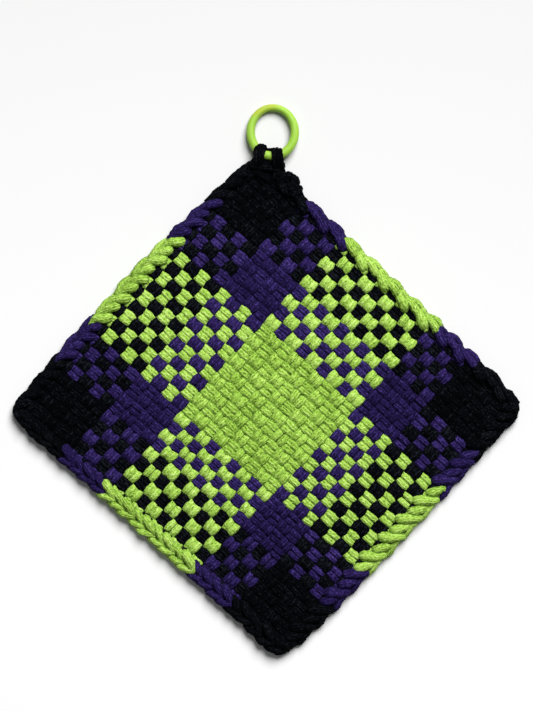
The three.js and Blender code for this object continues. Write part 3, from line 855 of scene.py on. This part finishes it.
# The hitch at the corner: each strand's width, and the places that its closed line goes through. The
# first bridges the two wraps inside the ring, the second lies over the left wrap, and the last three
# lie beneath the rough knot beside the hitch.
HITCH_LINES = (
    (1.8, ((-2.6, 153.6, 4.4), (-0.6, 153.1, 5.6), (1.8, 153.2, 5.6), (4.6, 153.4, 4.4),
           (3.2, 153.2, 2.9), (0.6, 153.0, 2.3), (-1.6, 153.2, 3.0))),
    (2.3, ((-8.0, 151.0, 6.6), (-7.2, 153.8, 7.6), (-4.6, 155.5, 7.6), (-1.9, 154.5, 6.8),
           (-1.2, 152.4, 5.4), (-2.4, 152.4, 3.2), (-4.6, 153.7, 3.0), (-7.0, 152.2, 4.4))),
    (4.6, ((-9.5, 144.2, 3.4), (-4.0, 142.8, 5.4), (2.0, 142.0, 5.8), (7.6, 141.4, 4.2),
           (7.2, 139.2, 2.4), (1.0, 139.8, 2.3), (-6.0, 141.4, 2.3))),
    (4.4, ((-8.2, 146.6, 3.2), (-3.5, 145.6, 4.4), (3.0, 144.8, 4.6), (8.2, 144.2, 3.6),
           (6.0, 142.6, 2.2), (-1.0, 143.2, 2.2), (-7.0, 144.6, 2.2))),
    (4.6, ((-12.8, 141.6, 3.2), (-8.4, 140.2, 5.0), (-3.4, 137.6, 5.4), (0.8, 134.6, 4.0),
           (-2.0, 134.2, 2.3), (-8.0, 137.6, 2.3), (-12.4, 139.8, 2.3))),
    (4.6, ((4.6, 139.4, 3.6), (9.0, 138.2, 5.6), (14.0, 137.0, 5.0), (17.0, 134.0, 3.2),
           (13.4, 133.2, 2.3), (8.4, 135.6, 2.3), (5.0, 137.4, 2.3))),
    (4.2, ((6.4, 136.0, 3.8), (9.6, 133.4, 5.4), (13.2, 131.4, 5.4), (16.4, 129.8, 3.6),
           (15.0, 128.4, 2.3), (10.6, 130.6, 2.3), (7.0, 133.4, 2.3))),
    (4.0, ((11.6, 139.0, 2.6), (14.6, 136.6, 4.4), (14.8, 132.4, 4.8), (12.0, 128.8, 3.8),
           (10.2, 130.0, 2.2), (11.4, 134.0, 2.2), (10.8, 137.4, 2.2))),
)


def wrap_strand(wrap):
    """A strand from the hitch over the ring's tube and back beneath it."""
    run = unit(np.array(wrap["run"]))
    flat = smooth_closed(WRAP_LINE, LINK_STATIONS)
    line = np.column_stack((np.array((wrap["x"], wrap["y"])) + flat[:, 0:1] * run, flat[:, 1]))
    return strand(line, wrap["width"], WRAP_THICKNESS, up=line - line.mean(axis=0), closed=True,
                  power=1.0, tone=rng.uniform(), lumps=LUMPS)


# The rough knot beside the hitch: small loops of the same strand, pulled tight over one another. It
# is lower towards its sides, and each small loop rises and dips by a share of its strand's width.
KNOT_STATIONS = 20
KNOT = dict(start=(4.0, 138.6), end=(18.0, 126.0), half_width=3.6, height=(6.1, 7.6), loops=64,
            length=(2.4, 4.4), strand=(1.3, 2.0), rounding=0.35, dip=0.45)


def knot_loop():
    along, across, turn = rng.uniform(0, 1), rng.uniform(-1, 1), rng.uniform(0, math.pi)
    start, end = np.array(KNOT["start"]), np.array(KNOT["end"])
    run = unit(end - start)
    middle = start + (end - start) * along + np.array((-run[1], run[0])) * across * KNOT["half_width"]
    rise = rng.uniform(*KNOT["height"]) * (1 - KNOT["rounding"] * across * across)
    half_length = rng.uniform(*KNOT["length"]) / 2
    angle = np.arange(KNOT_STATIONS) * 2 * math.pi / KNOT_STATIONS
    way = np.array((math.cos(turn), math.sin(turn)))
    width = rng.uniform(*KNOT["strand"])
    line = np.column_stack((middle + np.outer(half_length * np.cos(angle), way),
                            rise + KNOT["dip"] * width * np.sin(angle)))
    return strand(line, width, width, up=line - line.mean(axis=0), closed=True, power=1.0,
                  tone=rng.uniform(), lumps=LUMPS)


def hanging_loop():
    strands = [wrap_strand(wrap) for wrap in WRAPS]
    for width, places in HITCH_LINES:
        line = smooth_closed(places, LINK_STATIONS)
        strands.append(strand(line, width, width * HITCH_FLATNESS, up=line - line.mean(axis=0),
                              closed=True, power=1.0, tone=rng.uniform(),
                              lumps=HITCH_LUMPS * width / HITCH_WIDTH))
    strands += [knot_loop() for _ in range(KNOT["loops"])]
    return strand_piece("hitched_loop", strands, LINK_AROUND, MATERIALS["black"],
                        ["hanging_loop"])


woven = woven_loops()
links = chained_edge()
hitch = hanging_loop()
ring = make_ring()


# A matt white board with painted shade: greyer towards the back and the right, down to about half as
# light, where the soft box lights it more; in metres
FLOOR_HALF = 4.0
PAINTED_SHADE_LEAN = 0.32
PAINTED_SHADE_RANGE = dict(from_min=-0.45, from_max=0.55, to_min=0.96, to_max=0.492)


def make_floor():
    bm = bmesh.new()
    bmesh.ops.create_grid(bm, x_segments=1, y_segments=1, size=FLOOR_HALF)
    mesh = bpy.data.meshes.new("floor")
    bm.to_mesh(mesh)
    bm.free()
    floor = bpy.data.objects.new("floor", mesh)
    bpy.context.scene.collection.objects.link(floor)
    material = bpy.data.materials.new("matt_white_board_painted_shade")
    material.use_nodes = True
    tree = material.node_tree
    shader = tree.nodes["Principled BSDF"]
    coords = add_node(tree, "ShaderNodeTexCoord")
    split = add_node(tree, "ShaderNodeSeparateXYZ", [("Vector", coords.outputs["Object"])])
    slant = add_node(tree, "ShaderNodeMath", [(0, split.outputs["X"]), (2, split.outputs["Y"])],
                     operation="MULTIPLY_ADD")
    slant.inputs[1].default_value = PAINTED_SHADE_LEAN
    # Painted shade, which offsets the soft box's stronger light at the back and the right of the board
    white = add_node(tree, "ShaderNodeMapRange", [("Value", slant.outputs[0])],
                     interpolation_type="SMOOTHSTEP", **PAINTED_SHADE_RANGE)
    tree.links.new(white.outputs[0], shader.inputs["Base Color"])
    shader.inputs["Roughness"].default_value = 0.9
    shader.inputs["Specular IOR Level"].default_value = 0.1
    mesh.materials.append(material)


# One large soft box from the top right, and a little light from all round
WORLD_STRENGTH = 0.14
SOFT_BOX = dict(location=(0.496, 1.228, 1.498), size=1.36, power=69.5)


def make_studio():
    world = bpy.data.worlds.new("studio")
    world.use_nodes = True
    world.node_tree.nodes["Background"].inputs["Color"].default_value = (1, 1, 1, 1)
    world.node_tree.nodes["Background"].inputs["Strength"].default_value = WORLD_STRENGTH
    bpy.context.scene.world = world
    data = bpy.data.lights.new("soft_box", "AREA")
    data.shape = "DISK"
    data.size = SOFT_BOX["size"]
    data.energy = SOFT_BOX["power"]
    lamp = bpy.data.objects.new("soft_box", data)
    bpy.context.scene.collection.objects.link(lamp)
    lamp.location = SOFT_BOX["location"]
    lamp.rotation_euler = (-Vector(SOFT_BOX["location"])).to_track_quat("-Z", "Y").to_euler()


# The camera, straight above the pot holder as the photograph is taken
CAMERA_PLACE = (-1.07, 31.8)
CAMERA_HEIGHT = 1.2  # metres
PHOTO_HEIGHT = 711  # pixels
PIXEL = 0.592  # millimetres
SENSOR = 36


def make_camera():
    data = bpy.data.cameras.new("camera")
    data.sensor_width = SENSOR
    data.lens = SENSOR * CAMERA_HEIGHT / (PHOTO_HEIGHT * PIXEL * MM)
    camera = bpy.data.objects.new("camera", data)
    bpy.context.scene.collection.objects.link(camera)
    camera.location = (CAMERA_PLACE[0] * MM, CAMERA_PLACE[1] * MM, CAMERA_HEIGHT)
    bpy.context.scene.camera = camera


# The photograph's plain tones, without a film curve
bpy.context.scene.view_settings.view_transform = "Standard"
make_floor()
make_studio()
make_camera()
